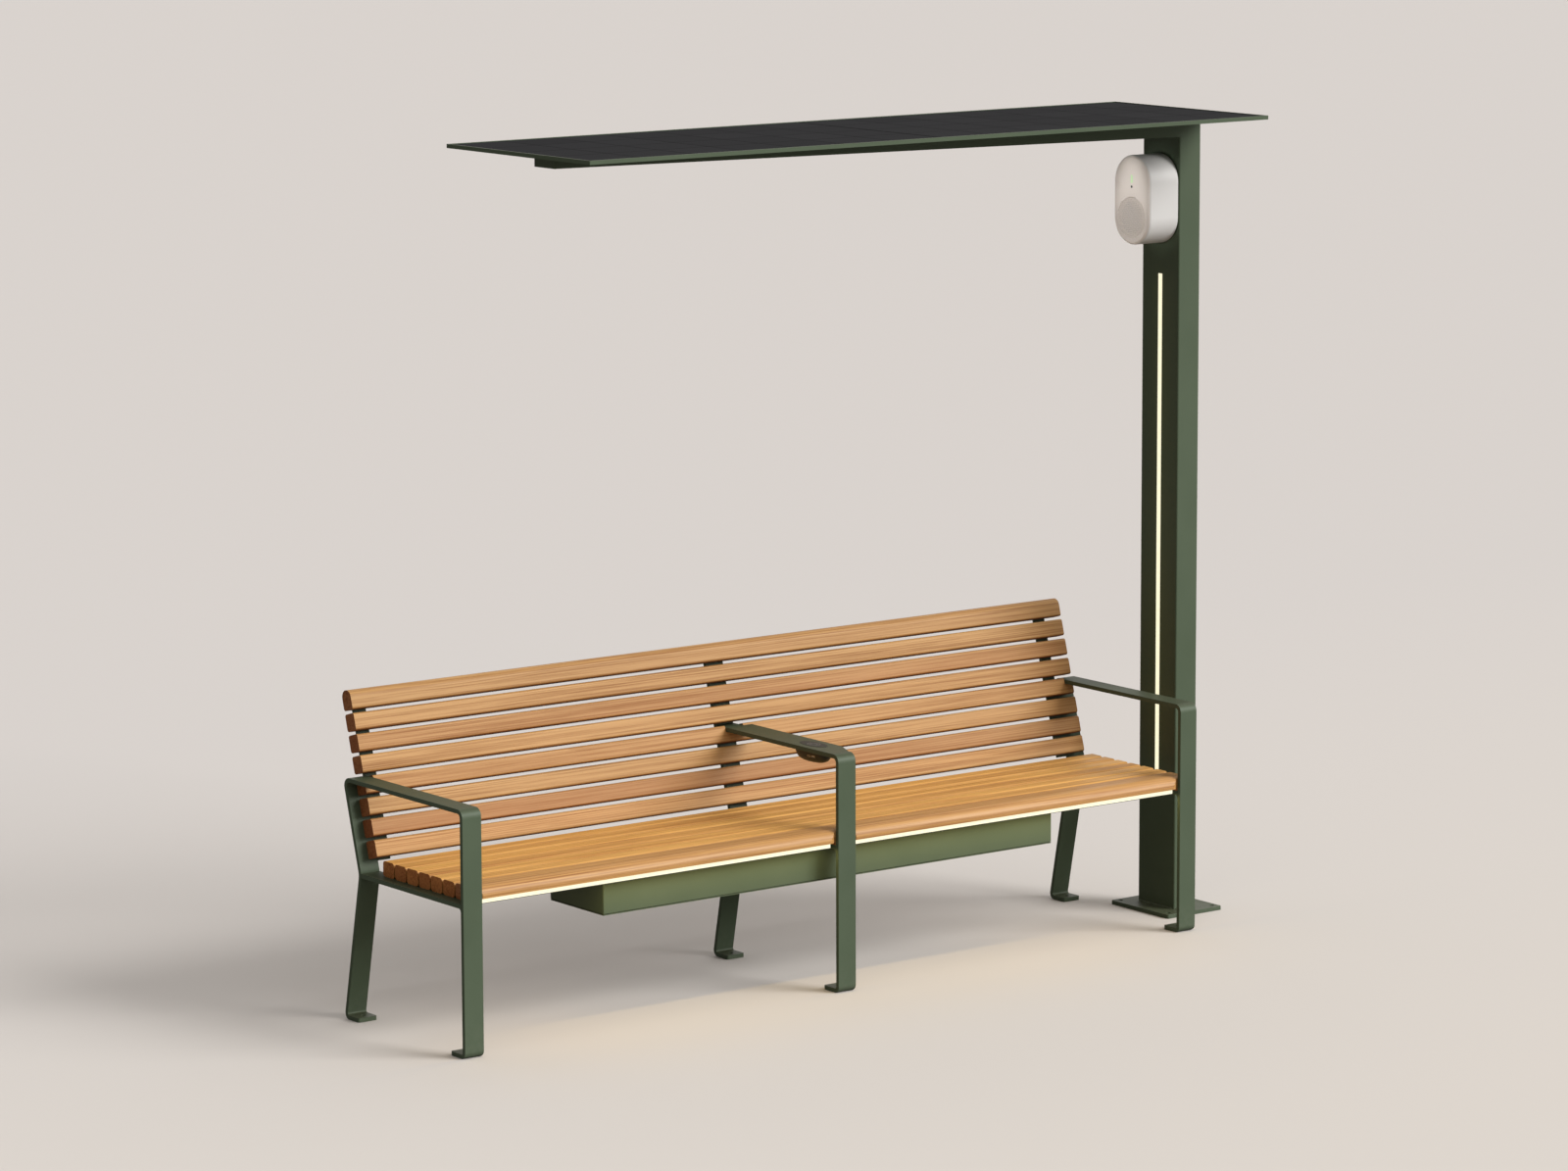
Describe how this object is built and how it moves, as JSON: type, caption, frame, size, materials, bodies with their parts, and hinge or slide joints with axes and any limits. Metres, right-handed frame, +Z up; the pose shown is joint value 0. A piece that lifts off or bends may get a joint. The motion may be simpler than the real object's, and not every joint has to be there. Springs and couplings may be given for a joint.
{
  "type": "solar charging bench",
  "caption": "Slatted park bench on bent flat-bar frames with a lit seat edge and a battery box below, beside a post that carries a solar canopy, a light line and a speaker unit.",
  "frame": {"origin": "on the ground, under the middle of the whole object's bounding box", "axes": "+X along the bench towards the post, +Y from the seat's front towards its back, +Z up"},
  "size_m": [2.7504, 0.6838, 2.331],
  "materials": {
    "frame_paint": "satin olive green powder coat",
    "timber": "satin oiled hardwood with a fine straight grain",
    "stainless_steel": "satin",
    "light_channel": "satin anodised",
    "light_diffuser": "opal, lit warm white",
    "light_strip": "coated light strip",
    "black_rubber": "matte",
    "battery_case": "fine textured",
    "controller_case": "cast, fine textured",
    "black_plastic": "matte",
    "charging_pad": "soft matte",
    "coil_wire": "varnished copper winding",
    "charger_pod": "satin dark olive",
    "socket_metal": "satin",
    "panel_glass": "black laminated glass over dark cells",
    "speaker_bracket": "matte",
    "speaker_shell": "satin warm white",
    "speaker_grille": "matte, fine perforation",
    "driver_body": "paper cone and black basket",
    "status_lens": "lit green lens"
  },
  "bodies": {
    "bench": {"frame_left": "frame_paint", "frame_right": "frame_paint", "frame_middle_front": "frame_paint", "frame_middle_back": "frame_paint", "seat_rail_left": "frame_paint", "seat_rail_middle": "frame_paint", "seat_rail_right": "frame_paint", "back_upright_left": "frame_paint", "back_upright_right": "frame_paint", "seat_battens": "frame_paint", "battery_box": "frame_paint", "post_tube": "frame_paint", "post_base_plate": "frame_paint", "canopy_beam": "frame_paint", "canopy_tray": "frame_paint", "back_slat_1": "timber", "back_slat_2": "timber", "back_slat_3": "timber", "back_slat_4": "timber", "back_slat_5": "timber", "back_slat_6": "timber", "back_slat_7": "timber", "back_slat_8": "timber", "seat_slat_1": "timber", "seat_slat_2": "timber", "seat_slat_3": "timber", "seat_slat_4": "timber", "seat_slat_5": "timber", "seat_slat_6": "timber", "seat_nose_slat": "timber", "back_slat_screws": "stainless_steel", "seat_slat_screws": "stainless_steel", "door_hinge_pins": "stainless_steel", "box_bolts": "stainless_steel", "seat_light_channel_left": "light_channel", "seat_light_channel_right": "light_channel", "post_light_channel": "light_channel", "seat_light_diffuser_left": "light_diffuser", "seat_light_diffuser_right": "light_diffuser", "post_light_diffuser": "light_diffuser", "light_strips": "light_strip", "door_seal": "black_rubber", "battery_left": "battery_case", "battery_right": "battery_case", "charge_controller": "controller_case", "cable_glands": "black_plastic", "charging_pad": "charging_pad", "charging_coil": "coil_wire", "charger_pod": "charger_pod", "usb_sockets": "socket_metal", "solar_panel_left": "panel_glass", "solar_panel_right": "panel_glass", "junction_boxes": "black_plastic", "speaker_bracket": "speaker_bracket", "speaker_housing": "speaker_shell", "speaker_grille": "speaker_grille", "speaker_driver": "driver_body", "status_lights": "status_lens"},
    "box_door": {"battery_box_door": "frame_paint", "door_screws": "stainless_steel"}
  },
  "joints": [
    {"name": "door_hinge", "type": "hinge", "parent": "bench", "child": "box_door", "pos_m": [-0.12025, 0.0221, 0.313], "axis": [1, 0, 0], "range_deg": [0, 90]}
  ]
}
